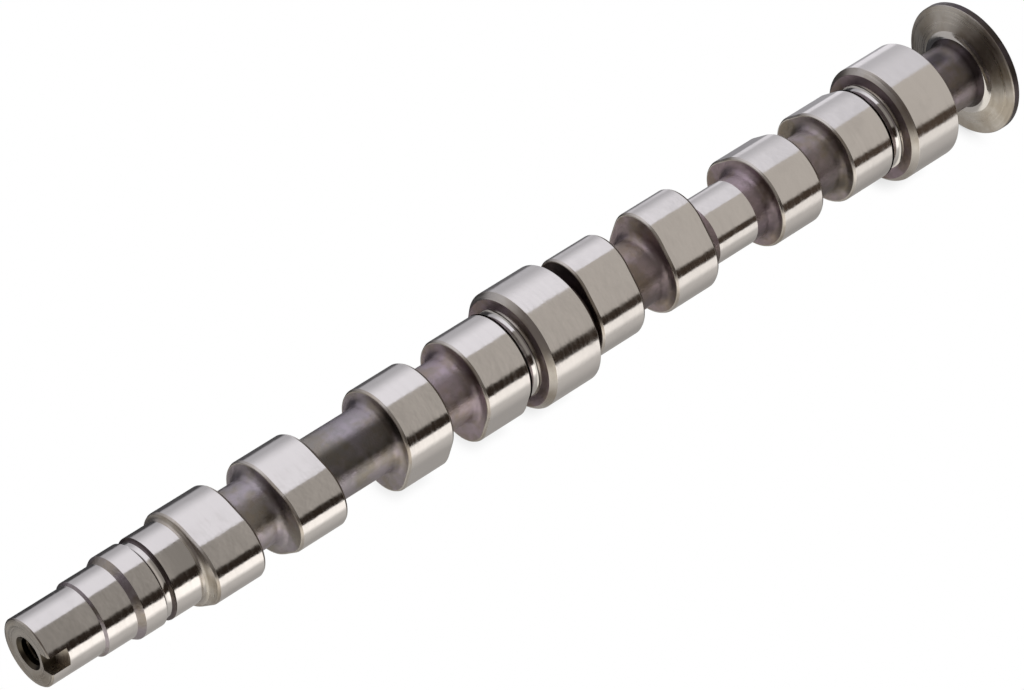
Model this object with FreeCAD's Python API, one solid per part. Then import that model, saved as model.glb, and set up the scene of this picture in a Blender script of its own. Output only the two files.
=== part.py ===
import FreeCAD, Part
import math
import os

# Camshaft of a four-cylinder engine with two equal cams to each cylinder, one solid of steel.
# All sizes in millimetres and degrees. The axis lies along X, with the nose towards -X and the
# flange towards +X, and the origin is on it at the centre of the middle journal. Z is up.
# Stations are counted along the axis from the nose face.

# Nose, from its free end inwards
nose_edge_chamfer = 0.5
pulley_seat_radius = 13.0
pulley_seat_length = 21.6
seal_cone_length = 1.3
seal_seat_radius = 14.1
seal_seat_length = 11.7
bearing_cone_length = 2.5
front_bearing_radius = 15.75
front_bearing_length = 8.8
oil_groove_width = 4.1
oil_groove_depth = 1.2
front_collar_length = 12.7

# Bolt hole and keyway in the nose
bolt_hole_radius = 5.1
bolt_hole_depth = 34.0
bolt_hole_mouth_radius = 6.3
countersink_angle = 90.0
drill_point_angle = 118.0
keyway_width = 6.8
keyway_length = 7.6
keyway_floor_radius = 7.75

# Cams: a base circle and a nose arc, joined by straight flanks that touch both
base_circle_radius = 18.0
cam_lift = 4.5
cam_nose_radius = 13.9
cam_width = 20.5
cam_edge_chamfer = 0.8

# Where the cams of each cylinder point, counted from those of cylinder 1 about the axis
cylinder_phases = (0.0, 90.0, -90.0, 180.0)

# Angle from +Y, turning towards +Z, of the cams of cylinder 1 and of the keyway as the shaft is built
cam_roll = 156.0

# Last turn about the axis, after which the shaft lies still on its flange and middle journal
rest_roll = 2.9

# Necks and shafts between the cams
pair_neck_radius = 12.6
pair_neck_length = 15.7
shaft_radius = 12.8
first_shaft_length = 31.3
last_shaft_length = 32.3
neck_cove = 3.0

# Journals and the turned reliefs beside them
middle_journal_radius = 23.1
rear_journal_radius = 23.2
journal_width = 23.3
journal_lead_length = 2.2
journal_lead_depth = 2.0
journal_back_chamfer = 0.6
relief_radius = 15.0
middle_relief_length = 5.0
rear_relief_length = 5.8
relief_slope = 1.5
journal_exit_radius = 13.0
journal_exit_length = 5.4

# Flange
flange_neck_radius = 12.7
flange_neck_length = 23.5
flange_cove = 3.6
flange_radius = 26.5
flange_rim_thickness = 3.1
flange_dish_depth = 2.1
flange_edge_chamfer = 0.3
centre_hole_radius = 4.0
centre_pilot_radius = 1.6
centre_pilot_depth = 7.0
centre_angle = 60.0

AXIS = FreeCAD.Vector(1, 0, 0)
ORIGIN = FreeCAD.Vector(0, 0, 0)


def section_point(station, radius):
    """Point of the half section: a station along the axis and a radius from it."""
    return FreeCAD.Vector(station, 0, radius)


def turned(points):
    """Solid of revolution from the corners of a half section."""
    wire = Part.makePolygon([section_point(x, r) for x, r in points + points[:1]])
    return Part.Face(wire).revolve(ORIGIN, AXIS, 360)


class TurnedOutline:
    """Half section of the shaft, walked from the nose towards the flange."""

    def __init__(self, radius):
        self.station = 0.0
        self.radius = 0.0
        self.edges = []
        self.cam_stations = []
        self.journal_centres = []
        self.line_to(0.0, radius)

    def line_to(self, station, radius):
        """Straight edge to a station and a radius, left out where it has no length."""
        start = section_point(self.station, self.radius)
        end = section_point(station, radius)
        if start.distanceToPoint(end) > 1e-6:
            self.edges.append(Part.makeLine(start, end))
        self.station = station
        self.radius = radius

    def face_to(self, radius):
        """Flat face square to the axis."""
        self.line_to(self.station, radius)

    def run(self, length):
        """Straight stretch at the present radius."""
        self.line_to(self.station + length, self.radius)

    def cone(self, length, radius):
        """Tapered stretch that ends at a new radius."""
        self.line_to(self.station + length, radius)

    def cove(self, size, side):
        """Quarter round hollow: side -1 runs down from a face to a neck, and 1 runs up to a face."""
        bend = size * math.sin(math.radians(45))
        start = section_point(self.station, self.radius)
        end = section_point(self.station + size, self.radius + side * size)
        centre_station = max(0, -side) * size + self.station
        centre_radius = max(start.z, end.z)
        middle = section_point(centre_station + side * bend, centre_radius - bend)
        arc = Part.Arc(start, middle, end).toShape()
        # As a spline, the turned surface takes fewer facets than a torus does
        self.edges.append(arc.toNurbs().Edges[0])
        self.station = end.x
        self.radius = end.z

    def neck(self, length, radius, cove):
        """Neck between two faces, with a quarter round hollow at each end."""
        size = min(cove, 0.45 * length)
        self.face_to(radius + size)
        self.cove(size, -1)
        self.run(length - 2 * size)
        self.cove(size, 1)

    def relief(self, length, radius, slope):
        """Turned groove between two faces, with a sloping foot on each side."""
        size = min(slope, 0.45 * length)
        self.face_to(radius + size)
        self.cone(size, radius)
        self.run(length - 2 * size)
        self.cone(size, radius + size)

    def cam(self):
        """Core under one cam. The cam itself is added to the turned solid later."""
        self.cam_stations.append(self.station)
        self.run(cam_width)

    def solid(self):
        """Closes the outline along the axis and turns it."""
        self.line_to(self.station, 0.0)
        self.line_to(0.0, 0.0)
        face = Part.Face(Part.Wire(self.edges))
        return face.revolve(ORIGIN, AXIS, 360)


def walk_nose(outline):
    """Pulley seat, seal seat, front bearing, oil groove and the collar before the first cam."""
    outline.cone(nose_edge_chamfer, pulley_seat_radius)
    outline.run(pulley_seat_length - nose_edge_chamfer)
    outline.cone(seal_cone_length, seal_seat_radius)
    outline.run(seal_seat_length)
    outline.cone(bearing_cone_length, front_bearing_radius)
    outline.run(front_bearing_length)
    outline.face_to(front_bearing_radius - oil_groove_depth)
    outline.run(oil_groove_width)
    outline.face_to(front_bearing_radius)
    outline.run(front_collar_length)


def walk_cam_pair(outline):
    """Two cams of one cylinder with the neck between them."""
    outline.cam()
    outline.neck(pair_neck_length, pair_neck_radius, neck_cove)
    outline.cam()


def walk_journal(outline, radius, relief_length):
    """Turned relief, then a journal with a long lead on the side of the nose."""
    ground_length = journal_width - journal_lead_length - journal_back_chamfer
    outline.relief(relief_length, relief_radius, relief_slope)
    outline.face_to(radius - journal_lead_depth)
    outline.cone(journal_lead_length, radius)
    outline.journal_centres.append(outline.station + ground_length / 2)
    outline.run(ground_length)
    outline.cone(journal_back_chamfer, radius - journal_back_chamfer)


def walk_flange(outline):
    """Flange neck, and the flange with its hollow root and its dished near face."""
    outline.face_to(flange_neck_radius)
    outline.run(flange_neck_length - flange_cove)
    outline.cove(flange_cove, 1)
    outline.cone(flange_dish_depth, flange_radius - flange_edge_chamfer)
    outline.cone(flange_edge_chamfer, flange_radius)
    outline.run(flange_rim_thickness - 2 * flange_edge_chamfer)
    outline.cone(flange_edge_chamfer, flange_radius - flange_edge_chamfer)


def walk_shaft():
    """Whole half section, from the nose to the flange."""
    outline = TurnedOutline(pulley_seat_radius - nose_edge_chamfer)
    walk_nose(outline)
    walk_cam_pair(outline)
    outline.neck(first_shaft_length, shaft_radius, neck_cove)
    walk_cam_pair(outline)
    walk_journal(outline, middle_journal_radius, middle_relief_length)
    outline.relief(journal_exit_length, journal_exit_radius, relief_slope)
    walk_cam_pair(outline)
    outline.neck(last_shaft_length, shaft_radius, neck_cove)
    walk_cam_pair(outline)
    walk_journal(outline, rear_journal_radius, rear_relief_length)
    walk_flange(outline)
    return outline


def cam_outline():
    """Closed outline of a cam that points along +Y, in the plane X = 0."""
    offset = base_circle_radius + cam_lift - cam_nose_radius
    lean = math.asin((base_circle_radius - cam_nose_radius) / offset)
    across = math.cos(lean)
    along = math.sin(lean)

    def point(centre, radius, side):
        return FreeCAD.Vector(0, centre + radius * along, side * radius * across)

    base_high = point(0, base_circle_radius, 1)
    base_low = point(0, base_circle_radius, -1)
    nose_high = point(offset, cam_nose_radius, 1)
    nose_low = point(offset, cam_nose_radius, -1)
    heel = FreeCAD.Vector(0, -base_circle_radius, 0)
    tip = FreeCAD.Vector(0, offset + cam_nose_radius, 0)
    edges = [Part.Arc(base_high, heel, base_low).toShape(),
             Part.makeLine(base_low, nose_low),
             Part.Arc(nose_low, tip, nose_high).toShape(),
             Part.makeLine(nose_high, base_high)]
    return Part.Wire(edges)


def make_cam(station, angle):
    """One cam with chamfered edges, at its station and turned about the axis."""
    cam = Part.Face(cam_outline()).extrude(AXIS * cam_width)
    rims = [edge for edge in cam.Edges if edge.BoundBox.XLength < 1e-6]
    cam = cam.makeChamfer(cam_edge_chamfer, rims)
    cam.rotate(ORIGIN, AXIS, angle)
    cam.translate(AXIS * station)
    return cam


def make_bolt_hole():
    """Drilled hole in the nose with a countersunk mouth and the cone left by the drill."""
    mouth = bolt_hole_mouth_radius - bolt_hole_radius
    sink = mouth / math.tan(math.radians(countersink_angle / 2))
    drill_tip = bolt_hole_radius / math.tan(math.radians(drill_point_angle / 2))
    return turned([(0, 0), (0, bolt_hole_mouth_radius), (sink, bolt_hole_radius),
                   (bolt_hole_depth, bolt_hole_radius), (bolt_hole_depth + drill_tip, 0)])


def make_centre_hole(end):
    """Turning centre in the flange: a countersink with a small pilot hole."""
    sink = (centre_hole_radius - centre_pilot_radius) / math.tan(math.radians(centre_angle / 2))
    drill_tip = centre_pilot_radius / math.tan(math.radians(drill_point_angle / 2))
    return turned([(end, 0), (end, centre_hole_radius), (end - sink, centre_pilot_radius),
                   (end - centre_pilot_depth, centre_pilot_radius),
                   (end - centre_pilot_depth - drill_tip, 0)])


def make_keyway():
    """Milled keyway, open at the nose face and square at its inner end."""
    height = pulley_seat_radius - keyway_floor_radius + 1
    corner = FreeCAD.Vector(-1, keyway_floor_radius, -keyway_width / 2)
    keyway = Part.makeBox(keyway_length + 1, height, keyway_width, corner)
    keyway.rotate(ORIGIN, AXIS, cam_roll)
    return keyway


def make_camshaft():
    """Turned shaft joined with its cams, less the holes and the keyway, moved to its origin."""
    outline = walk_shaft()
    cams = []
    for number, station in enumerate(outline.cam_stations):
        phase = cylinder_phases[number // 2]
        cams.append(make_cam(station, cam_roll + phase))
    end = outline.station
    shaft = outline.solid().fuse(cams)
    shaft = shaft.cut([make_bolt_hole(), make_centre_hole(end), make_keyway()])
    shaft = shaft.removeSplitter().Solids[0]
    shaft.rotate(ORIGIN, AXIS, rest_roll)
    shaft.translate(AXIS * -outline.journal_centres[0])
    return shaft


os.makedirs("parts", exist_ok=True)
camshaft = make_camshaft()
camshaft.exportStep("parts/camshaft.step")
print("length", round(camshaft.BoundBox.XLength, 2), "volume", round(camshaft.Volume / 1000, 1), "cm3")
print("solids", len(camshaft.Solids), "faces", len(camshaft.Faces), "valid", camshaft.isValid())
print("centre of mass", [round(value, 2) for value in camshaft.CenterOfMass])
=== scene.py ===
import math

import bpy
import numpy as np
from mathutils import Matrix, Vector


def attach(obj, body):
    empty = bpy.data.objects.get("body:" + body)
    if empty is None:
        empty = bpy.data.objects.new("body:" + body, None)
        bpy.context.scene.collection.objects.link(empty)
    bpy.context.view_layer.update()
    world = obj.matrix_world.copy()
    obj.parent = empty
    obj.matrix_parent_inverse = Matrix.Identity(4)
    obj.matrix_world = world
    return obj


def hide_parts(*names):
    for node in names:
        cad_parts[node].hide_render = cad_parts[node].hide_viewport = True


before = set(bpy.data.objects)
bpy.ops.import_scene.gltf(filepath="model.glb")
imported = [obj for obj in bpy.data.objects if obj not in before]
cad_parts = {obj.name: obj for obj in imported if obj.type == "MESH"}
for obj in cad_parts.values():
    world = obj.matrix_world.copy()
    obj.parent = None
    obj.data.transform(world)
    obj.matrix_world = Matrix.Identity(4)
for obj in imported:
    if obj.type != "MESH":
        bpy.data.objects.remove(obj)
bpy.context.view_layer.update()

bl_info = {
    "name": "Ground camshaft",
    "version": (1, 0, 0),
    "blender": (4, 5, 0),
    "location": "3D View > Sidebar > Camshaft",
    "description": "Surface, finishes and studio for a one-piece camshaft on a white table",
    "category": "Add Mesh",
}

MILLIMETRE = 0.001

# Finishes, in the order of the material slots of the shaft
GROUND, FORGED, FACED, BORE = range(4)

# Corners of the profile that turn less than this stay as they are
SMALL_TURN = math.radians(25)

# Half angles of a drill's tip and of the sixty degree turning centre
DRILL_HALF_ANGLE = math.radians(59)
CENTRE_HALF_ANGLE = math.radians(30)

# Share of the way to a drilled hole's tip at which the last ring stands, before the pole closes it
TIP_SHARE = 0.98

# Tones of the forged skin: stations along the shaft in millimetres, and colours. The tone changes
# from neck to neck; the darker stops are painted shade: near black in the oil groove, the exit groove,
# the flange's hollow root and its rim, and darker at the grooves before the journals
FORGED_TONES_AND_SHADE = (
    (-182, (0.40, 0.385, 0.38)),
    (-178, (0.12, 0.105, 0.10)),
    (-172, (0.12, 0.105, 0.10)),
    (-150, (0.40, 0.385, 0.38)),
    (-90, (0.36, 0.355, 0.35)),
    (-40, (0.40, 0.355, 0.36)),
    (-17, (0.27, 0.23, 0.235)),
    (-12, (0.27, 0.23, 0.235)),
    (11, (0.11, 0.095, 0.095)),
    (16, (0.13, 0.11, 0.105)),
    (37, (0.38, 0.335, 0.315)),
    (102, (0.36, 0.31, 0.31)),
    (141, (0.34, 0.315, 0.29)),
    (165, (0.27, 0.23, 0.235)),
    (209, (0.25, 0.235, 0.23)),
    (211, (0.06, 0.05, 0.048)),
    (216, (0.09, 0.08, 0.08)),
)

# Painted shade on the forged skin, on sides of the shaft that face one way: the mask that gives its
# place round the shaft, and how dark it is at stations along it
FORGED_PAINTED_SHADE = (
    ("Front", ((-120, 0.1), (-105, 0.55), (-74, 0.55), (-60, 0.1))),
    ("Underside", ((18, 0.0), (30, 0.57), (150, 0.57), (162, 0.0))),
    ("Top", ((175, 0.0), (185, 0.68), (205, 0.68), (209, 0.0))),
)

# Shares of a mirrored direction along the shaft, from -1 beyond the nose to 1 beyond the flange,
# between which one light of the studio gives way to the next
STRAIGHT_AHEAD = (-0.99, -0.9)
NOSE_END = (-0.56, -0.46)
FAR_END = (0.68, 0.8)


# Settings

def length(name, millimetres, description):
    """Length property with its default given in millimetres."""
    return bpy.props.FloatProperty(name=name, description=description, default=millimetres * MILLIMETRE,
                                   min=0.0, precision=5, unit="LENGTH")


def angle(name, degrees, description):
    """Angle property with its default given in degrees."""
    return bpy.props.FloatProperty(name=name, description=description, default=math.radians(degrees),
                                   subtype="ANGLE")


def amount(name, value, description):
    """Plain number between nought and one."""
    return bpy.props.FloatProperty(name=name, description=description, default=value, min=0.0, max=1.0)


def colour(name, value, description):
    """Linear colour."""
    return bpy.props.FloatVectorProperty(name=name, description=description, default=value, size=3,
                                         min=0.0, max=2.0, subtype="COLOR")


def levels(name, values, description):
    """Brightness of a band of light in what the nose, the middle journal and the flange's end mirror."""
    return bpy.props.FloatVectorProperty(name=name, description=description, default=values, size=3,
                                         min=0.0, max=2.0)


class NoseSettings(bpy.types.PropertyGroup):
    start: length("Back from origin", 224.85, "Distance from the middle journal's centre to the nose face")
    edge_chamfer: length("Edge chamfer", 0.5, "Chamfer round the nose face")
    seat_radius: length("Pulley seat radius", 13.0, "Radius of the seat of the pulley")
    seat_length: length("Pulley seat length", 21.85, "Length of the pulley seat with its chamfer")
    seal_cone: length("Seal cone", 0.8, "Length of the taper up to the seal seat")
    seal_radius: length("Seal seat radius", 14.1, "Radius of the seal seat")
    seal_length: length("Seal seat length", 11.95, "Length of the seal seat")
    bearing_cone: length("Bearing cone", 2.5, "Length of the taper up to the front bearing")
    bearing_radius: length("Front bearing radius", 15.75, "Radius of the front bearing")
    bearing_length: length("Front bearing length", 8.8, "Length of the front bearing before its groove")
    groove_width: length("Groove width", 4.1, "Width of the oil groove")
    groove_depth: length("Groove depth", 1.2, "Depth of the oil groove")
    collar_length: length("Collar length", 12.7, "Length from the oil groove to the first cam")
    collar_cove: length("Collar cove", 1.6, "Hollow between the collar and the first cam")
    hole_radius: length("Bolt hole radius", 5.1, "Radius at the crests of the thread")
    hole_depth: length("Bolt hole depth", 34.0, "Depth of the straight wall of the bolt hole")
    mouth_radius: length("Hole mouth radius", 6.3, "Radius of the countersink at the nose face")
    thread_pitch: length("Thread pitch", 1.75, "Pitch of the thread in the bolt hole")
    thread_depth: length("Thread depth", 0.9, "Depth of the thread below its crests")
    thread_length: length("Thread length", 24.5, "Length of the cut thread")
    keyway_width: length("Keyway width", 6.8, "Width of the milled keyway")
    keyway_length: length("Keyway length", 7.6, "Length of the keyway from the nose face")
    keyway_floor: length("Keyway floor radius", 7.75, "Distance of the keyway's floor from the axis")
    keyway_slope: length("Keyway slope", 2.4, "How far the keyway's end slopes down to its floor")


class CamSettings(bpy.types.PropertyGroup):
    base_radius: length("Base circle radius", 18.0, "Radius of the base circle")
    lift: length("Lift", 4.5, "How far the cam nose stands beyond the base circle")
    nose_radius: length("Cam nose radius", 13.9, "Radius of the arc over the cam nose")
    width: length("Cam width", 20.5, "Width of one cam")
    chamfer: length("Cam chamfer", 0.9, "Length of the chamfer on both edges of a cam")
    chamfer_depth: length("Cam chamfer depth", 0.46, "Depth of the chamfer on both edges of a cam")
    direction: angle("Cylinder 1 direction", 158.9, "Direction of the first cams from +Y towards +Z")
    neck_radius: length("Neck radius", 12.6, "Radius between the two cams of a cylinder")
    neck_length: length("Neck length", 15.7, "Distance between the two cams of a cylinder")
    shaft_radius: length("Shaft radius", 12.8, "Radius of the shaft between two cylinders")
    first_shaft: length("First shaft length", 31.3, "Shaft between cylinders 1 and 2")
    last_shaft: length("Last shaft length", 32.3, "Shaft between cylinders 3 and 4")
    cove: length("Cove", 3.0, "Hollow at the ends of the necks")
    rough_start: length("Rough start", 5.5, "Forged end of the last shaft, with its hollow, at cylinder 3")
    rough_end: length("Rough end", 8.0, "Forged end of the last shaft, with its hollow, at cylinder 4")


class JournalSettings(bpy.types.PropertyGroup):
    middle_radius: length("Middle journal radius", 23.1, "Radius of the middle journal")
    rear_radius: length("Rear journal radius", 23.2, "Radius of the rear journal")
    width: length("Journal width", 23.3, "Width of a journal with its lead and chamfer")
    lead_length: length("Lead length", 2.2, "Length of the taper on the side of the nose")
    lead_depth: length("Lead depth", 2.0, "Depth of the taper on the side of the nose")
    back_chamfer: length("Back chamfer", 0.6, "Chamfer on the side of the flange")
    relief_radius: length("Relief radius", 15.0, "Radius of the groove before a journal")
    middle_relief: length("Middle relief", 5.0, "Length of the groove before the middle journal")
    rear_relief: length("Rear relief", 5.8, "Length of the groove before the rear journal")
    relief_slope: length("Relief slope", 1.5, "Size of the slope at both feet of a groove")
    relief_cove: length("Relief cove", 2.2, "Hollow where a groove meets its journal")
    exit_radius: length("Exit radius", 13.0, "Radius of the groove behind the middle journal")
    exit_length: length("Exit length", 5.4, "Length of the groove behind the middle journal")


class FlangeSettings(bpy.types.PropertyGroup):
    neck_radius: length("Flange neck radius", 12.7, "Radius of the neck before the flange")
    neck_length: length("Flange neck length", 23.5, "Length of the neck with its hollow root")
    cove: length("Flange root", 3.6, "Radius of the hollow root of the flange")
    radius: length("Flange radius", 26.5, "Outer radius of the flange")
    rim: length("Rim thickness", 3.1, "Thickness of the flange at its rim")
    dish: length("Dish depth", 2.1, "How far the near face leans back towards the rim")
    root_ring: length("Root ring", 0.5, "Width of the bright ring beside the hollow root")
    edge_chamfer: length("Rim chamfer", 0.3, "Chamfer on both edges of the rim")
    centre_radius: length("Centre radius", 4.0, "Radius of the turning centre at its mouth")
    pilot_radius: length("Pilot radius", 1.6, "Radius of the turning centre's pilot hole")
    pilot_depth: length("Pilot depth", 7.0, "Depth of the pilot hole")


class FinishSettings(bpy.types.PropertyGroup):
    columns: bpy.props.IntProperty(name="Columns", description="Vertices round the shaft",
                                   default=128, min=24)
    edge_rounding: length("Edge rounding", 0.3, "Size of the rounding on worn edges")
    ground_colour: colour("Ground steel", (0.72, 0.70, 0.68), "Colour of the ground surfaces")
    ground_roughness: amount("Ground roughness", 0.12, "Roughness of the ground surfaces")
    forged_roughness: amount("Forged roughness", 0.36, "Roughness of the rough necks")
    faced_colour: colour("Turned faces", (0.60, 0.57, 0.53), "Colour of the turned side faces")
    faced_roughness: amount("Faced roughness", 0.3, "Roughness of the turned side faces")


class StudioSettings(bpy.types.PropertyGroup):
    floor_size: length("Floor size", 12000.0, "Side of the square floor")
    table_colour: colour("Table", (0.85, 0.85, 0.85), "Colour of the table where it lights the shaft")
    shadow_reach: length("Shadow reach", 8.0, "How far the soft shadow reaches from the shaft")
    shadow_tone: amount("Shadow tone", 0.6, "Tone of the table where the shadow is deepest")
    panel_tint: colour("Panel tint", (1.02, 1.0, 1.06), "Tint of the light behind the shaft")
    wall_tint: colour("Wall tint", (1.08, 1.0, 0.92), "Tint of the room in front")
    gap_tint: colour("Gap tint", (1.4, 1.0, 0.75), "Tint of the dark gap")
    table_tint: colour("Table tint", (1.05, 1.0, 0.955), "Tint of the table")
    edge_light: levels("Back edge", (0.05, 0.13, 0.4), "Light far behind the shaft")
    line_light: levels("Back line", (0.42, 0.5, 0.95), "Line of light before the back edge")
    low_light: levels("Low back", (0.48, 0.53, 0.6), "Room behind the shaft, under the panel")
    panel_light: levels("Panel", (0.93, 1.0, 0.75), "Panel above and behind the shaft")
    wall_light: levels("Wall", (0.255, 0.49, 0.55), "Room in front")
    gap_light: levels("Dark gap", (0.018, 0.02, 0.06), "Gap between the wall and the table")
    table_light: levels("Bright table", (1.42, 1.15, 0.92), "Far part of the table")
    near_light: levels("Near table", (0.6, 0.62, 0.56), "Table beside the shaft")
    under_light: levels("Under the shaft", (0.4, 0.36, 0.34), "Table under the shaft")
    side_colour: colour("Side light", (1.0, 0.96, 0.89), "Light from beyond the nose, over the table")
    side_back_colour: colour("Side back", (0.5, 0.48, 0.47), "Light from beyond the nose, behind the shaft")
    end_colour: colour("End of the room", (0.14, 0.12, 0.115), "Room beyond the nose, on the camera's side")
    end_start: angle("End start", -72.0, "Angle above the camera at which the end of the room starts")
    end_end: angle("End end", 60.0, "Angle below the camera at which the end of the room ends")
    far_colour: colour("Far end", (0.1, 0.085, 0.08), "Room beyond the flange")
    edge_end_nose: angle("Edge end, nose", -132.0, "Angle above the camera where the back edge ends")
    edge_end_flange: angle("Edge end, flange", -154.0, "The same angle, mirrored in the flange's end")
    line_end: angle("Line end", -129.0, "Angle above the camera at which the line of light ends")
    panel_start: angle("Panel start", -100.0, "Angle above the camera at which the panel starts")
    panel_end: angle("Panel end", -42.0, "Angle above the camera at which the panel ends")
    gap_start_nose: angle("Gap start, nose", 31.0, "Angle below the camera of the gap's upper edge")
    gap_start_flange: angle("Gap start, flange", 49.0, "The same angle, mirrored in the flange's end")
    gap_end_nose: angle("Gap end, nose", 60.0, "Angle below the camera of the gap's lower edge")
    gap_end_flange: angle("Gap end, flange", 69.0, "The same angle, mirrored in the flange's end")
    table_end: angle("Table end", 90.0, "Angle below the camera at which the bright table ends")
    near_end: angle("Near end", 118.0, "Angle below the camera at which the table beside the shaft ends")
    reach: angle("Reach", 7.0, "How far the lean of the view changes from the middle to the shaft's ends")


class CameraSettings(bpy.types.PropertyGroup):
    lens: bpy.props.FloatProperty(name="Lens", description="Focal length in millimetres", default=165.2)
    distance: length("Distance", 1641.6, "From the camera to the point that it looks at")
    lean: angle("Lean", 29.5, "How far the view leans from square to the shaft, towards the nose")
    direction: angle("Direction", 120.47, "Camera's direction about the shaft, from +Y towards +Z")
    image_tilt: angle("Image tilt", 31.98, "Angle at which the shaft rises in the picture")
    target: length("Target", 9.4, "How far before the origin the shaft crosses the middle of the picture")
    drop: length("Drop", 1.76, "How far the shaft runs below the middle of the picture")


# Profile of the surface

def rounded(corners, finishes, size):
    """Corners of a profile with small roundings, as rows of two coordinates and a finish.

    Every corner that turns by more than a small turn becomes a quadratic curve between points on
    its two sides. A row just beyond both ends of the curve keeps the shading of the sides flat.
    finishes holds one entry for each side."""
    steps = 3
    longest = 0.4
    margin = 0.1
    rows = [(*corners[0], finishes[0])]
    for number in range(1, len(corners) - 1):
        before, here, after = (np.array(corners[number + step]) for step in (-1, 0, 1))
        inward = here - before
        outward = after - here
        reach_in = np.linalg.norm(inward)
        reach_out = np.linalg.norm(outward)
        inward = inward / reach_in
        outward = outward / reach_out
        turn = math.acos(np.clip(inward @ outward, -1, 1))
        if turn < SMALL_TURN:
            rows.append((*here, finishes[number]))
            continue
        cut = min(size * math.tan(turn / 2), longest * reach_in, longest * reach_out)
        first = here - inward * cut
        last = here + outward * cut
        rows.append((*(first - inward * margin * cut), finishes[number - 1]))
        for step in range(steps + 1):
            part = step / steps
            point = (1 - part) ** 2 * first + 2 * part * (1 - part) * here + part ** 2 * last
            rows.append((*point, finishes[number - 1] if part < 0.5 else finishes[number]))
        rows.append((*(last + outward * margin * cut), finishes[number]))
    rows.append((*corners[-1], finishes[-1]))
    return rows


def cam_radius(sizes, angles, inset):
    """Polar radius of a cam's outline, drawn in by an inset, at angles counted from its nose.

    The outline is the base circle, an arc over the nose and the straight flanks that touch both."""
    base = sizes.base_radius - inset
    nose = sizes.nose_radius - inset
    offset = sizes.base_radius + sizes.lift - sizes.nose_radius
    lean = math.asin((base - nose) / offset)
    flank_normal = math.pi / 2 - lean
    nose_end = math.atan2(nose * math.cos(lean), offset + nose * math.sin(lean))
    away = np.abs((angles + math.pi) % (2 * math.pi) - math.pi)
    over_nose = offset * np.cos(away) + np.sqrt(np.maximum(nose ** 2 - (offset * np.sin(away)) ** 2, 0))
    # The flank is used only within this angle of its normal, and its formula fails at a right angle
    limit = 1.4
    along_flank = base / np.cos(np.clip(flank_normal - away, -limit, limit))
    return np.where(away < nose_end, over_nose, np.where(away < flank_normal, along_flank, base))


class Skin:
    """Rows of the shaft's closed surface, walked from the bottom of the bolt hole to the flange."""

    def __init__(self, columns, rounding):
        self.angles = np.arange(columns) * 2 * math.pi / columns
        self.rounding = rounding
        self.stations = []
        self.radii = []
        self.finishes = []

    def add_row(self, station, radii, finish):
        """One ring of points, with the finish of the band that starts at it."""
        self.stations.append(station)
        self.radii.append(radii + 0 * self.angles)
        self.finishes.append(finish)

    def add_turned(self, corners, finishes):
        """Stretch that is round at every station."""
        for station, radius, finish in rounded(corners, finishes, self.rounding):
            self.add_row(station, radius, finish)

    def add_thread(self, start, pitch, crest_radius, depth, turns):
        """Thread walked outwards along the hole: the radius swings between crest and root on a helix,
        with flat crests and roots, and fades out over one turn at both ends."""
        steps = 6
        steepness = 1.3
        flat = 0.15
        for row in range(turns * steps, -1, -1):
            station = start + row * pitch / steps
            phase = (row / steps - self.angles / (2 * math.pi)) % 1
            fade = min(1, (turns * steps - row) / steps, row / steps)
            swing = steepness * (1 - np.abs(2 * phase - 1)) - flat
            self.add_row(station, crest_radius + depth * fade * np.clip(swing, 0, 1), BORE)

    def add_cam(self, sizes, station, direction):
        """One cam with chamfered edges, as insets of its outline."""
        chamfer = sizes.chamfer
        depth = sizes.chamfer_depth
        end = station + sizes.width
        corners = [(station, 2 * depth), (station, depth), (station + chamfer, 0),
                   (end - chamfer, 0), (end, depth), (end, 2 * depth)]
        finishes = [FACED, FACED, GROUND, FACED, FACED]
        for place, inset, finish in rounded(corners, finishes, self.rounding):
            self.add_row(place, cam_radius(sizes, self.angles - direction, inset), finish)

    def mesh(self, name):
        """Closed mesh: rings joined by quads, with a pole at both ends."""
        columns = len(self.angles)
        rows = len(self.stations)
        radii = np.array(self.radii)
        points = np.empty((rows, columns, 3))
        points[..., 0] = np.array(self.stations)[:, None]
        points[..., 1] = radii * np.cos(self.angles)
        points[..., 2] = radii * np.sin(self.angles)
        poles = [[self.stations[0], 0, 0], [self.stations[-1], 0, 0]]
        vertices = np.concatenate([points.reshape(-1, 3), poles])
        near = np.arange(rows * columns).reshape(rows, columns)
        turned = np.roll(near, -1, axis=1)
        quads = np.stack([near[:-1], turned[:-1], turned[1:], near[1:]], axis=-1).reshape(-1, 4)
        first_fan = [(rows * columns, b, a) for a, b in zip(near[0], turned[0])]
        last_fan = [(rows * columns + 1, a, b) for a, b in zip(near[-1], turned[-1])]
        mesh = bpy.data.meshes.new(name)
        faces = [tuple(face) for face in quads.tolist()] + first_fan + last_fan
        mesh.from_pydata(vertices.tolist(), [], faces)
        bands = np.repeat(self.finishes[:-1], columns)
        fans = np.repeat([self.finishes[0], self.finishes[-1]], columns)
        mesh.polygons.foreach_set("material_index", np.concatenate([bands, fans]).astype(np.int32))
        mesh.update()
        return mesh


def cove(station, radius, size, side):
    """Corners of a quarter round hollow: side -1 runs down from a face, and 1 runs up to one."""
    steps = 5
    points = []
    for step in range(steps + 1):
        swing = math.radians(90) * step / steps
        if side < 0:
            points.append((station + size * (1 - math.cos(swing)), radius + size * (1 - math.sin(swing))))
        else:
            points.append((station + size * math.sin(swing), radius + size * (1 - math.cos(swing))))
    return points


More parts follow.
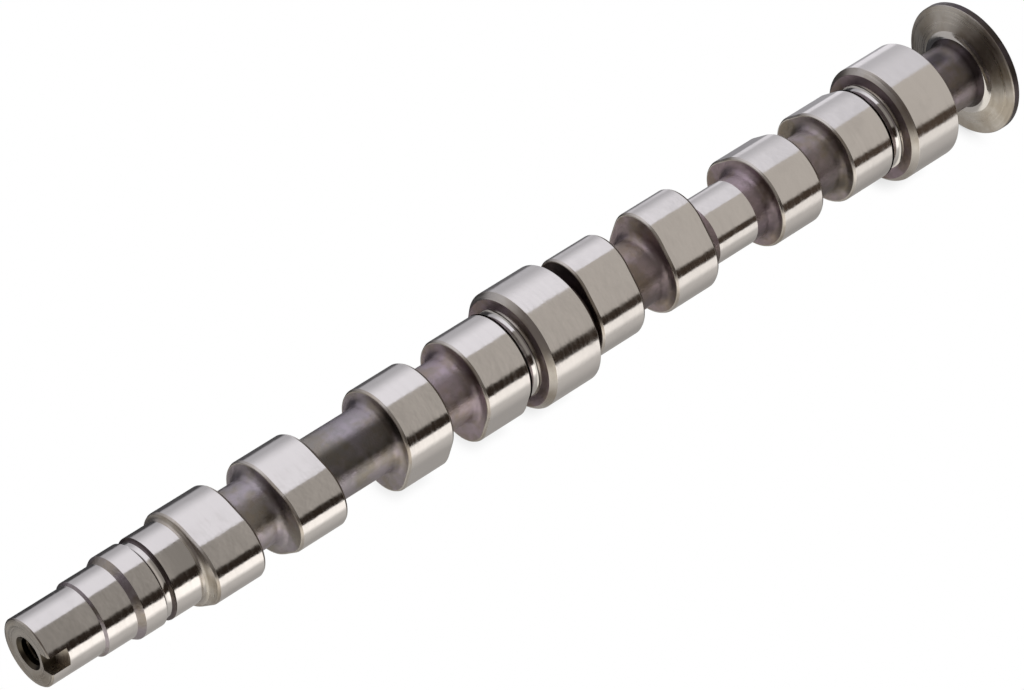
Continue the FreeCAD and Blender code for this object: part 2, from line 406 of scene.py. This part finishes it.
def walk_nose(skin, nose):
    """Bolt hole with its thread, nose face, seats, front bearing, oil groove and collar. The far side
    of the oil groove is rough, and dark with painted shade."""
    start = -nose.start
    tip = nose.hole_radius / math.tan(DRILL_HALF_ANGLE)
    turns = round(nose.thread_length / nose.thread_pitch)
    thread_start = start + 2 * (nose.mouth_radius - nose.hole_radius)
    skin.add_row(start + nose.hole_depth + tip * TIP_SHARE, nose.hole_radius * (1 - TIP_SHARE), BORE)
    skin.add_row(start + nose.hole_depth, nose.hole_radius, BORE)
    skin.add_thread(thread_start, nose.thread_pitch, nose.hole_radius, nose.thread_depth, turns)
    seat = start + nose.seat_length
    seal = seat + nose.seal_cone
    bearing = seal + nose.seal_length + nose.bearing_cone
    groove = bearing + nose.bearing_length
    collar = groove + nose.groove_width
    end = collar + nose.collar_length
    floor = nose.bearing_radius - nose.groove_depth
    corners = [(start + nose.mouth_radius - nose.hole_radius, nose.hole_radius),
               (start, nose.mouth_radius),
               (start, nose.seat_radius - nose.edge_chamfer),
               (start + nose.edge_chamfer, nose.seat_radius),
               (seat, nose.seat_radius),
               (seal, nose.seal_radius),
               (seal + nose.seal_length, nose.seal_radius),
               (bearing, nose.bearing_radius)]
    # The countersink takes the near-black bore finish: painted shade in the hole's mouth
    finishes = [BORE, FACED, FACED, GROUND, FORGED, GROUND, FORGED]
    near_side = cove(groove, floor, nose.groove_depth, -1)
    far_side = cove(collar - nose.groove_depth, floor, nose.groove_depth, 1)
    root = cove(end - nose.collar_cove, nose.bearing_radius, nose.collar_cove, 1)
    finishes += [GROUND] * (len(near_side) + 1)
    finishes += [FORGED] * (len(far_side) - 1)
    finishes += [GROUND] + [FACED] * (len(root) - 1)
    skin.add_turned(corners + near_side + far_side + root, finishes)
    return end


def walk_neck(skin, cams, station, neck_length, radius, ground=None):
    """Forged neck between two side faces, with a quarter round hollow at each end. ground holds how
    far from the two faces a ground stretch starts and ends."""
    end = station + neck_length
    corners = cove(station, radius, cams.cove, -1)
    finishes = [FORGED] * len(corners)
    if ground:
        corners += [(station + ground[0], radius), (end - ground[1], radius)]
        finishes += [GROUND, FORGED]
    corners += cove(end - cams.cove, radius, cams.cove, 1)
    finishes += [FORGED] * (len(corners) - 1 - len(finishes))
    skin.add_turned(corners, finishes)
    return end


def walk_cam_pair(skin, cams, station, phase):
    """Two cams of one cylinder with the neck between them."""
    direction = cams.direction + math.radians(phase)
    skin.add_cam(cams, station, direction)
    station = walk_neck(skin, cams, station + cams.width, cams.neck_length, cams.neck_radius)
    skin.add_cam(cams, station, direction)
    return station + cams.width


def walk_relief(skin, journals, station, relief_length):
    """Turned groove before a journal: a sloping foot behind the cam and a hollow under the journal."""
    end = station + relief_length
    slope = journals.relief_slope
    floor = journals.relief_radius
    corners = [(station, floor + 2 * slope), (station, floor + slope), (station + slope, floor)]
    corners += cove(end - journals.relief_cove, floor, journals.relief_cove, 1)
    corners.append((end, floor + 2 * slope))
    finishes = [FACED, FACED] + [GROUND] * (len(corners) - 4) + [FORGED]
    skin.add_turned(corners, finishes)
    return end


def walk_exit(skin, journals, station):
    """Groove behind the middle journal, with a sloping foot on each side."""
    end = station + journals.exit_length
    slope = journals.relief_slope
    floor = journals.exit_radius
    corners = [(station, floor + 2 * slope), (station, floor + slope), (station + slope, floor),
               (end - slope, floor), (end, floor + slope), (end, floor + 2 * slope)]
    # The forged skin here is near black: painted shade in the groove
    skin.add_turned(corners, [FORGED] * 5)
    return end


def walk_journal(skin, journals, station, radius, relief_length):
    """Groove, then a journal with a long lead on the side of the nose."""
    station = walk_relief(skin, journals, station, relief_length)
    end = station + journals.width
    back = journals.back_chamfer
    foot = radius - journals.lead_depth
    corners = [(station, foot - back), (station, foot), (station + journals.lead_length, radius),
               (end - back, radius), (end, radius - back), (end, radius - 3 * back)]
    skin.add_turned(corners, [FORGED, FACED, GROUND, FACED, FACED])
    return end


def walk_flange(skin, flange, station):
    """Flange neck, the dished flange with a bright ring at its root, and the turning centre in its
    back."""
    root = station + flange.neck_length - flange.cove
    face = station + flange.neck_length + flange.dish
    end = face + flange.rim
    edge = flange.edge_chamfer
    sink = (flange.centre_radius - flange.pilot_radius) / math.tan(CENTRE_HALF_ANGLE)
    tip = flange.pilot_radius / math.tan(DRILL_HALF_ANGLE)
    hollow = cove(root, flange.neck_radius, flange.cove, 1)
    foot = flange.neck_radius + flange.cove
    ring_lean = flange.dish * flange.root_ring / (flange.radius - edge - foot)
    corners = [(station, flange.neck_radius)] + hollow
    corners += [(station + flange.neck_length + ring_lean, foot + flange.root_ring),
                (face, flange.radius - edge),
                (face + edge, flange.radius),
                (end - edge, flange.radius),
                (end, flange.radius - edge),
                (end, flange.centre_radius),
                (end - sink, flange.pilot_radius),
                (end - flange.pilot_depth, flange.pilot_radius),
                (end - flange.pilot_depth - tip * TIP_SHARE, flange.pilot_radius * (1 - TIP_SHARE))]
    # Forged skin on the neck, the root's first part and the rim; near black at root and rim: painted shade
    rough = 4
    finishes = [FORGED] * rough + [GROUND] * (len(hollow) + 1 - rough) + [FACED, FACED, FORGED, FORGED]
    finishes += [FACED] * (len(corners) - 1 - len(finishes))
    skin.add_turned(corners, finishes)


def walk_shaft(skin, settings):
    """All rows of the shaft, from the nose to the flange."""
    cams = settings.camshaft_cams
    journals = settings.camshaft_journals
    station = walk_nose(skin, settings.camshaft_nose)
    station = walk_cam_pair(skin, cams, station, 0)
    station = walk_neck(skin, cams, station, cams.first_shaft, cams.shaft_radius)
    station = walk_cam_pair(skin, cams, station, 90)
    station = walk_journal(skin, journals, station, journals.middle_radius, journals.middle_relief)
    station = walk_exit(skin, journals, station)
    station = walk_cam_pair(skin, cams, station, -90)
    station = walk_neck(skin, cams, station, cams.last_shaft, cams.shaft_radius,
                        (cams.rough_start, cams.rough_end))
    station = walk_cam_pair(skin, cams, station, 180)
    station = walk_journal(skin, journals, station, journals.rear_radius, journals.rear_relief)
    walk_flange(skin, settings.camshaft_flange, station)


def keyway_cutter(nose, direction):
    """Block that stands over the keyway's floor and reaches beyond the nose face and the seat. Its
    inner end slopes, so it is longer at the seat than at the floor."""
    half = nose.keyway_width / 2
    outside = -nose.start - half
    end = -nose.start + nose.keyway_length
    top = nose.seat_radius + half
    lean = nose.keyway_slope / (nose.seat_radius - nose.keyway_floor)
    corners = [(outside, y, z) for y in (nose.keyway_floor, top) for z in (-half, half)]
    corners += [(end - nose.keyway_slope, nose.keyway_floor, z) for z in (-half, half)]
    corners += [(end + half * lean, top, z) for z in (-half, half)]
    faces = [(0, 1, 3, 2), (4, 6, 7, 5), (0, 4, 5, 1), (2, 3, 7, 6), (0, 2, 6, 4), (1, 5, 7, 3)]
    mesh = bpy.data.meshes.new("keyway_cutter")
    mesh.from_pydata(corners, [], faces)
    mesh.transform(Matrix.Rotation(direction, 4, "X"))
    mesh.update()
    return mesh


# Node helpers

def feed(tree, socket, value):
    """Links an output to a socket, or gives the socket a plain value."""
    if isinstance(value, bpy.types.NodeSocket):
        tree.links.new(value, socket)
    elif socket.type == "RGBA":
        socket.default_value = (*value, 1)
    else:
        socket.default_value = value


def add_node(tree, kind, **inputs):
    """New node with values or links given to its inputs by name."""
    node = tree.nodes.new(kind)
    for name, value in inputs.items():
        feed(tree, node.inputs[name.replace("_", " ")], value)
    return node


def calculate(tree, operation, *values):
    """Output of a math node."""
    node = tree.nodes.new("ShaderNodeMath")
    node.operation = operation
    for socket, value in zip(node.inputs, values):
        feed(tree, socket, value)
    return node.outputs[0]


def spread(tree, value, low, high, new_low=0.0, new_high=1.0):
    """Value mapped smoothly from one range to another and kept inside it."""
    node = add_node(tree, "ShaderNodeMapRange", Value=value, From_Min=low, From_Max=high, To_Min=new_low,
                    To_Max=new_high)
    node.interpolation_type = "SMOOTHSTEP"
    return node.outputs["Result"]


def mix_colour(tree, factor, first, second):
    """Output of a colour mix."""
    node = tree.nodes.new("ShaderNodeMix")
    node.data_type = "RGBA"
    for number, value in ((0, factor), (6, first), (7, second)):
        feed(tree, node.inputs[number], value)
    return node.outputs[2]


def mix_shader(tree, factor, first, second):
    """Output of a shader mix."""
    node = tree.nodes.new("ShaderNodeMixShader")
    for socket, value in zip(node.inputs, (factor, first, second)):
        feed(tree, socket, value)
    return node.outputs[0]


def ramp(tree, value, stops):
    """Colour that changes with a value between nought and one, from stops of a place and a colour."""
    node = tree.nodes.new("ShaderNodeValToRGB")
    tree.links.new(value, node.inputs[0])
    elements = node.color_ramp.elements
    for number, (place, tone) in enumerate(stops):
        element = elements[number] if number < 2 else elements.new(place)
        element.position = place
        element.color = (*tone, 1)
    return node.outputs["Color"]


def along_shaft(tree, station, stops):
    """Colour that changes along the shaft, from stops of a station in millimetres and a colour."""
    first = stops[0][0] * MILLIMETRE
    span = stops[-1][0] * MILLIMETRE - first
    share = calculate(tree, "MULTIPLY_ADD", station, 1 / span, -first / span)
    return ramp(tree, share, [((place * MILLIMETRE - first) / span, tone) for place, tone in stops])


def noise(tree, vector, scale, detail=2.0, roughness=0.5):
    """Value of a noise texture."""
    return add_node(tree, "ShaderNodeTexNoise", Vector=vector, Scale=scale, Detail=detail,
                    Roughness=roughness).outputs[0]


def stretched(tree, vector, scale):
    """Vector scaled along each axis."""
    return add_node(tree, "ShaderNodeMapping", Vector=vector, Scale=scale).outputs["Vector"]


def new_group(name, outputs):
    """Empty node group that takes a position and gives values."""
    group = bpy.data.node_groups.new(name, "ShaderNodeTree")
    group.interface.new_socket("Position", in_out="INPUT", socket_type="NodeSocketVector")
    for output in outputs:
        group.interface.new_socket(output, in_out="OUTPUT", socket_type="NodeSocketFloat")
    position = group.nodes.new("NodeGroupInput").outputs[0]
    result = group.nodes.new("NodeGroupOutput")
    return group, position, result


def make_turning_group():
    """Lines left by turning and grinding: they run round the axis, so they depend on the station
    along it and on the distance from it, and break up slowly along their length."""
    break_up = 1.2 * MILLIMETRE
    group, position, result = new_group("Turning lines", ("Fine", "Coarse", "Patches"))
    split = add_node(group, "ShaderNodeSeparateXYZ", Vector=position)
    across = calculate(group, "POWER", split.outputs[1], 2.0)
    upwards = calculate(group, "POWER", split.outputs[2], 2.0)
    radius = calculate(group, "SQRT", calculate(group, "ADD", across, upwards))
    turn = calculate(group, "ARCTAN2", split.outputs[2], split.outputs[1])
    place = add_node(group, "ShaderNodeCombineXYZ", X=split.outputs[0], Y=radius,
                     Z=calculate(group, "MULTIPLY", turn, break_up))
    lines = place.outputs[0]
    group.links.new(noise(group, lines, 3200, 2), result.inputs["Fine"])
    group.links.new(noise(group, stretched(group, lines, (1, 1, 0.6)), 900, 3), result.inputs["Coarse"])
    group.links.new(noise(group, position, 55, 4, 0.6), result.inputs["Patches"])
    return group


def make_grain_and_shade_group():
    """Grain of a forged skin: fine pits, larger lumps and wide clouds, the station on the shaft, and
    masks for painted shade on sides that face one way: a strip over the front, with sharp edges, and
    soft ones on the underside and on top. An angle round the shaft runs from +Y towards +Z."""
    masks = tuple(name for name, depths in FORGED_PAINTED_SHADE)
    group, position, result = new_group("Forged grain and painted shade", ("Pits", "Lumps", "Clouds", "Station", *masks))
    for name, scale, detail in (("Pits", 1500, 3), ("Lumps", 380, 4), ("Clouds", 75, 3)):
        group.links.new(noise(group, position, scale, detail, 0.6), result.inputs[name])
    split = add_node(group, "ShaderNodeSeparateXYZ", Vector=position)
    group.links.new(split.outputs[0], result.inputs["Station"])
    turn = calculate(group, "ARCTAN2", split.outputs[2], split.outputs[1])
    rise = spread(group, turn, math.radians(90), math.radians(108))
    fall = spread(group, turn, math.radians(140), math.radians(148), 1.0, 0.0)
    group.links.new(calculate(group, "MULTIPLY", rise, fall), result.inputs["Front"])
    for name, middle, edge, full in (("Underside", 175, 0.85, 0.995), ("Top", 80, 0.94, 1.0)):
        facing = calculate(group, "COSINE", calculate(group, "SUBTRACT", turn, math.radians(middle)))
        group.links.new(spread(group, facing, edge, full), result.inputs[name])
    return group


def place_group(tree, group):
    """Group node fed with the object's own coordinates."""
    node = tree.nodes.new("ShaderNodeGroup")
    node.node_tree = group
    coordinates = tree.nodes.new("ShaderNodeTexCoord")
    tree.links.new(coordinates.outputs["Object"], node.inputs[0])
    return node.outputs


def metal(name, group, looks, strength, distance):
    """Metal material. looks takes its node tree and the outputs of a group placed in it, and returns
    colour, roughness and height. strength and distance are those of the bump that the height gives."""
    material = bpy.data.materials.new(name)
    material.use_nodes = True
    tree = material.node_tree
    base, roughness, height = looks(tree, place_group(tree, group))
    bump = add_node(tree, "ShaderNodeBump", Strength=strength, Distance=distance, Height=height)
    inputs = tree.nodes["Principled BSDF"].inputs
    feed(tree, inputs["Metallic"], 1.0)
    feed(tree, inputs["Normal"], bump.outputs["Normal"])
    feed(tree, inputs["Base Color"], base)
    feed(tree, inputs["Roughness"], roughness)
    return material


def make_ground(finish, turning):
    """Bright ground steel with faint grinding lines and slightly dull patches."""
    pale = tuple(finish.ground_colour)
    dull = tuple(0.86 * value for value in pale)
    waviness = 30.0

    def looks(tree, lines):
        base = mix_colour(tree, spread(tree, lines["Patches"], 0.52, 0.8, 0, 0.6), pale, dull)
        roughness = spread(tree, lines["Coarse"], 0.3, 0.75, finish.ground_roughness - 0.03,
                           finish.ground_roughness + 0.05)
        height = calculate(tree, "MULTIPLY_ADD", lines["Patches"], waviness, lines["Fine"])
        return base, roughness, height

    return metal("ground_steel", turning, looks, strength=0.05, distance=0.1 * MILLIMETRE)


def make_forged(finish, grain):
    """Dark rough skin with purple and brown clouds. Its tone changes from neck to neck. Painted shade
    makes the oil groove, the exit groove and the root and rim of the flange the darkest, and darkens
    one side of some necks."""
    purple = (1.06, 0.98, 1.1)
    brown = (0.85, 0.78, 0.68)
    white = (1, 1, 1)
    black = (0, 0, 0)

    def looks(tree, skin):
        # Tone along the shaft, with the painted shade of the grooves and of the flange's root and rim
        grey = along_shaft(tree, skin["Station"], FORGED_TONES_AND_SHADE)
        cloud = mix_colour(tree, spread(tree, skin["Clouds"], 0.42, 0.6), purple, brown)
        tint = mix_colour(tree, spread(tree, skin["Lumps"], 0.35, 0.7, 0, 0.5), cloud, white)
        base = mix_colour(tree, 1.0, grey, tint)
        base.node.blend_type = "MULTIPLY"
        # Painted shade: each mask darkens one side of the shaft towards black, as far as its stops give
        for mask, depths in FORGED_PAINTED_SHADE:
            stops = [(station, [depth] * 3) for station, depth in depths]
            dark = along_shaft(tree, skin["Station"], stops)
            base = mix_colour(tree, calculate(tree, "MULTIPLY", dark, skin[mask]), base, black)
        roughness = spread(tree, skin["Lumps"], 0.3, 0.7, finish.forged_roughness - 0.06,
                           finish.forged_roughness + 0.1)
        height = calculate(tree, "ADD", skin["Pits"], calculate(tree, "MULTIPLY", skin["Lumps"], 2.0))
        return base, roughness, height

    return metal("forged_skin", grain, looks, strength=0.35, distance=0.2 * MILLIMETRE)


def make_faced(finish, turning):
    """Turned side faces and edges: duller, with rings round the axis."""
    pale = tuple(finish.faced_colour)
    dark = (pale[0] * 0.72, pale[1] * 0.68, pale[2] * 0.62)

    def looks(tree, lines):
        base = mix_colour(tree, spread(tree, lines["Patches"], 0.4, 0.65), pale, dark)
        roughness = spread(tree, lines["Coarse"], 0.3, 0.7, finish.faced_roughness - 0.05,
                           finish.faced_roughness + 0.08)
        return base, roughness, lines["Coarse"]

    return metal("turned_face", turning, looks, strength=0.3, distance=0.2 * MILLIMETRE)


def make_bore(turning):
    """Near-black wall of the bolt hole, also given to its countersink and the keyway's floor: painted
    shade in these recesses.
    """
    painted_shade_dark = (0.05, 0.042, 0.03)
    painted_shade_lighter = (0.1, 0.085, 0.065)

    def looks(tree, lines):
        base = mix_colour(tree, lines["Patches"], painted_shade_dark, painted_shade_lighter)
        return base, spread(tree, lines["Coarse"], 0.3, 0.7, 0.28, 0.45), lines["Coarse"]

    return metal("recess_painted_shade", turning, looks, strength=0.3, distance=0.2 * MILLIMETRE)


def make_floor_material(studio):
    """White table with a soft shadow where the shaft stands close over it. Polished steel looks
    through it to the studio below, which holds the table's light for the mirror."""
    material = bpy.data.materials.new("white_table")
    material.use_nodes = True
    tree = material.node_tree
    tree.nodes.clear()
    rays = tree.nodes.new("ShaderNodeLightPath").outputs
    plain = add_node(tree, "ShaderNodeBsdfDiffuse", Color=studio.table_colour)
    closeness = add_node(tree, "ShaderNodeAmbientOcclusion", Distance=studio.shadow_reach)
    closeness.samples = 16
    tone = spread(tree, closeness.outputs["AO"], 0.0, 0.9, studio.shadow_tone, 1.0)
    white = add_node(tree, "ShaderNodeEmission", Color=mix_colour(tree, tone, (0, 0, 0), (1, 1, 1)),
                     Strength=1.0)
    clear = tree.nodes.new("ShaderNodeBsdfTransparent")
    surface = mix_shader(tree, rays["Is Camera Ray"], plain.outputs[0], white.outputs[0])
    surface = mix_shader(tree, rays["Is Glossy Ray"], surface, clear.outputs[0])
    add_node(tree, "ShaderNodeOutputMaterial", Surface=surface)
    return material


def dot(tree, vector, axis):
    """Dot product of a vector with a fixed direction."""
    node = tree.nodes.new("ShaderNodeVectorMath")
    node.operation = "DOT_PRODUCT"
    tree.links.new(vector, node.inputs[0])
    node.inputs[1].default_value = axis
    return node.outputs["Value"]


def make_world(studio, view):
    """Soft studio round the shaft. Its bands run along the shaft and depend on the angle about the
    axis, counted downwards from the camera: a dark edge, a line of light, the low back and a pale
    panel behind the shaft, the wall in front, a dark gap, the bright table, the table beside the
    shaft and the table under it. The gap lies lower in what the flange's end mirrors than in what
    the nose does. Beyond the nose stands the light that falls on faces square to the axis."""
    world = bpy.data.worlds.new("soft_studio")
    world.use_nodes = True
    tree = world.node_tree
    tree.nodes.clear()
    rays = tree.nodes.new("ShaderNodeLightPath").outputs
    direction = tree.nodes.new("ShaderNodeTexCoord").outputs["Generated"]
    across = math.cos(view.direction)
    upwards = math.sin(view.direction)
    towards = dot(tree, direction, (0, across, upwards))
    below = dot(tree, direction, (0, -upwards, across))
    turn = calculate(tree, "ARCTAN2", below, towards)
    along = dot(tree, direction, (1, 0, 0))
    place = spread(tree, along, math.sin(view.lean - studio.reach), math.sin(view.lean + studio.reach))
    place.node.interpolation_type = "LINEAR"
    # Places of the nose, the middle journal and the flange's end
    level_places = (0.0, 0.54, 0.9)

    def slide(nose, flange):
        """Angle that changes evenly from what the nose mirrors to what the flange does."""
        return calculate(tree, "MULTIPLY_ADD", place, flange - nose, nose)

    def step(edge, degrees, before, after):
        """Change from one colour to the next at an angle, soft over some degrees on both sides."""
        soft = math.radians(degrees)
        return mix_colour(tree, spread(tree, calculate(tree, "SUBTRACT", turn, edge), -soft, soft),
                          before, after)

    def band(tint, light):
        """Light of a band, from its three levels and its tint."""
        return ramp(tree, place, [(where, [level * part for part in tint])
                                  for where, level in zip(level_places, light)])

    # Angle at which a band starts, softness of its edge in degrees, tint and light
    bands = (
        (slide(studio.edge_end_nose, studio.edge_end_flange), 5, studio.panel_tint, studio.line_light),
        (studio.line_end, 4, studio.panel_tint, studio.low_light),
        (studio.panel_start, 22, studio.panel_tint, studio.panel_light),
        (studio.panel_end, 2, studio.wall_tint, studio.wall_light),
        (slide(studio.gap_start_nose, studio.gap_start_flange), 3, studio.gap_tint, studio.gap_light),
        (slide(studio.gap_end_nose, studio.gap_end_flange), 2, studio.table_tint, studio.table_light),
        (studio.table_end, 8, studio.table_tint, studio.near_light),
        (studio.near_end, 25, studio.table_tint, studio.under_light),
    )
    light = band(studio.panel_tint, studio.edge_light)
    for start, softness, tint, strength in bands:
        light = step(start, softness, light, band(tint, strength))
    # Beyond the nose: one light behind the shaft, one over the table, and between soft edges on the
    # camera's side the dark end of the room, which also fills the middle, straight ahead
    beyond = mix_colour(tree, spread(tree, below, -0.3, 0.3), studio.side_back_colour, studio.side_colour)
    side = step(studio.end_start, 22, beyond, studio.end_colour)
    side = step(studio.end_end, 20, side, beyond)
    side = mix_colour(tree, spread(tree, along, *STRAIGHT_AHEAD), studio.end_colour, side)
    light = mix_colour(tree, spread(tree, along, *FAR_END), light, studio.far_colour)
    light = mix_colour(tree, spread(tree, along, *NOSE_END), side, light)
    around = add_node(tree, "ShaderNodeBackground", Color=light, Strength=1.0)
    white = add_node(tree, "ShaderNodeBackground", Color=(1, 1, 1), Strength=1.0)
    surface = mix_shader(tree, rays["Is Camera Ray"], around.outputs[0], white.outputs[0])
    add_node(tree, "ShaderNodeOutputWorld", Surface=surface)
    return world


# Operators

class CAMSHAFT_OT_shaft(bpy.types.Operator):
    """Builds the surface and the finishes of the shaft in place of its plain solid"""

    bl_idname = "camshaft.shaft"
    bl_label = "Build shaft"

    def execute(self, context):
        scene = context.scene
        finish = scene.camshaft_finish
        skin = Skin(finish.columns, finish.edge_rounding)
        walk_shaft(skin, scene)
        mesh = skin.mesh("camshaft_surface")
        turning = make_turning_group()
        for material in (make_ground(finish, turning), make_forged(finish, make_grain_and_shade_group()),
                         make_faced(finish, turning), make_bore(turning)):
            mesh.materials.append(material)
        piece = bpy.data.objects.new("camshaft_surface", mesh)
        scene.collection.objects.link(piece)
        self.cut_keyway(context, piece)
        mesh = piece.data
        mesh.shade_smooth()
        mesh.set_sharp_from_angle(angle=math.radians(38))
        if not mesh.polygons:
            raise RuntimeError("the keyway cut left no surface")
        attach(piece, "root")
        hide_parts("camshaft")
        return {"FINISHED"}

    def cut_keyway(self, context, piece):
        """Cuts the keyway out of the surface, whose walls keep the finish of the turned faces."""
        scene = context.scene
        mesh = keyway_cutter(scene.camshaft_nose, scene.camshaft_cams.direction)
        for material in piece.data.materials:
            mesh.materials.append(material)
        # The keyway's floor takes the near-black bore finish: painted shade in the slot
        finishes = np.array([FACED, FACED, BORE, FACED, FACED, FACED], np.int32)
        mesh.polygons.foreach_set("material_index", finishes)
        cutter = bpy.data.objects.new("keyway_cutter", mesh)
        scene.collection.objects.link(cutter)
        cut = piece.modifiers.new("Keyway", "BOOLEAN")
        cut.operation = "DIFFERENCE"
        cut.solver = "EXACT"
        cut.object = cutter
        context.view_layer.update()
        with context.temp_override(object=piece, active_object=piece, selected_objects=[piece]):
            bpy.ops.object.modifier_apply(modifier=cut.name)
        bpy.data.objects.remove(cutter)


class CAMSHAFT_OT_studio(bpy.types.Operator):
    """Lays the shaft on a white table in soft studio light"""

    bl_idname = "camshaft.studio"
    bl_label = "Build studio"

    def execute(self, context):
        scene = context.scene
        studio = scene.camshaft_studio
        half = studio.floor_size / 2
        level = -scene.camshaft_flange.radius
        mesh = bpy.data.meshes.new("table")
        mesh.from_pydata([(-half, -half, level), (half, -half, level), (half, half, level),
                          (-half, half, level)], [], [(0, 1, 2, 3)])
        mesh.materials.append(make_floor_material(studio))
        table = bpy.data.objects.new("table", mesh)
        scene.collection.objects.link(table)
        scene.world = make_world(studio, scene.camshaft_camera)
        scene.view_settings.view_transform = "Standard"
        return {"FINISHED"}


class CAMSHAFT_OT_camera(bpy.types.Operator):
    """Sets up the camera, which looks at the shaft from above and from the nose"""

    bl_idname = "camshaft.camera"
    bl_label = "Build camera"

    def execute(self, context):
        scene = context.scene
        view = scene.camshaft_camera
        if view.distance <= 0:
            raise RuntimeError("the camera needs a distance from the shaft")
        square = math.cos(view.lean)
        back = Vector((-math.sin(view.lean), square * math.cos(view.direction),
                       square * math.sin(view.direction)))
        axis = Vector((1, 0, 0))
        along = (axis - back * axis.dot(back)).normalized()
        over = back.cross(along)
        right = along * math.cos(view.image_tilt) - over * math.sin(view.image_tilt)
        up = along * math.sin(view.image_tilt) + over * math.cos(view.image_tilt)
        target = axis * -view.target + over * view.drop
        data = bpy.data.cameras.new("photo_camera")
        data.lens = view.lens
        data.clip_end = 100.0
        camera = bpy.data.objects.new("photo_camera", data)
        turn = Matrix((right, up, back)).transposed().to_4x4()
        camera.matrix_world = Matrix.Translation(target + back * view.distance) @ turn
        scene.collection.objects.link(camera)
        scene.camera = camera
        return {"FINISHED"}


class CAMSHAFT_PT_panel(bpy.types.Panel):
    """Sizes of the camshaft and the steps that build it"""

    bl_idname = "CAMSHAFT_PT_panel"
    bl_label = "Camshaft"
    bl_space_type = "VIEW_3D"
    bl_region_type = "UI"
    bl_category = "Camshaft"

    def draw(self, context):
        for step in OPERATORS:
            self.layout.operator(step.bl_idname)
        for name, kind in SETTINGS.items():
            box = self.layout.box()
            for field in kind.__annotations__:
                box.prop(getattr(context.scene, name), field)


SETTINGS = {
    "camshaft_nose": NoseSettings,
    "camshaft_cams": CamSettings,
    "camshaft_journals": JournalSettings,
    "camshaft_flange": FlangeSettings,
    "camshaft_finish": FinishSettings,
    "camshaft_studio": StudioSettings,
    "camshaft_camera": CameraSettings,
}
OPERATORS = (CAMSHAFT_OT_shaft, CAMSHAFT_OT_studio, CAMSHAFT_OT_camera)


def register():
    for name, kind in SETTINGS.items():
        bpy.utils.register_class(kind)
        setattr(bpy.types.Scene, name, bpy.props.PointerProperty(type=kind))
    for kind in (*OPERATORS, CAMSHAFT_PT_panel):
        bpy.utils.register_class(kind)


def unregister():
    for kind in (CAMSHAFT_PT_panel, *OPERATORS):
        bpy.utils.unregister_class(kind)
    for name, kind in SETTINGS.items():
        delattr(bpy.types.Scene, name)
        bpy.utils.unregister_class(kind)


def main():
    register()
    bpy.ops.camshaft.shaft()
    bpy.ops.camshaft.studio()
    bpy.ops.camshaft.camera()


if __name__ == "__main__":
    main()
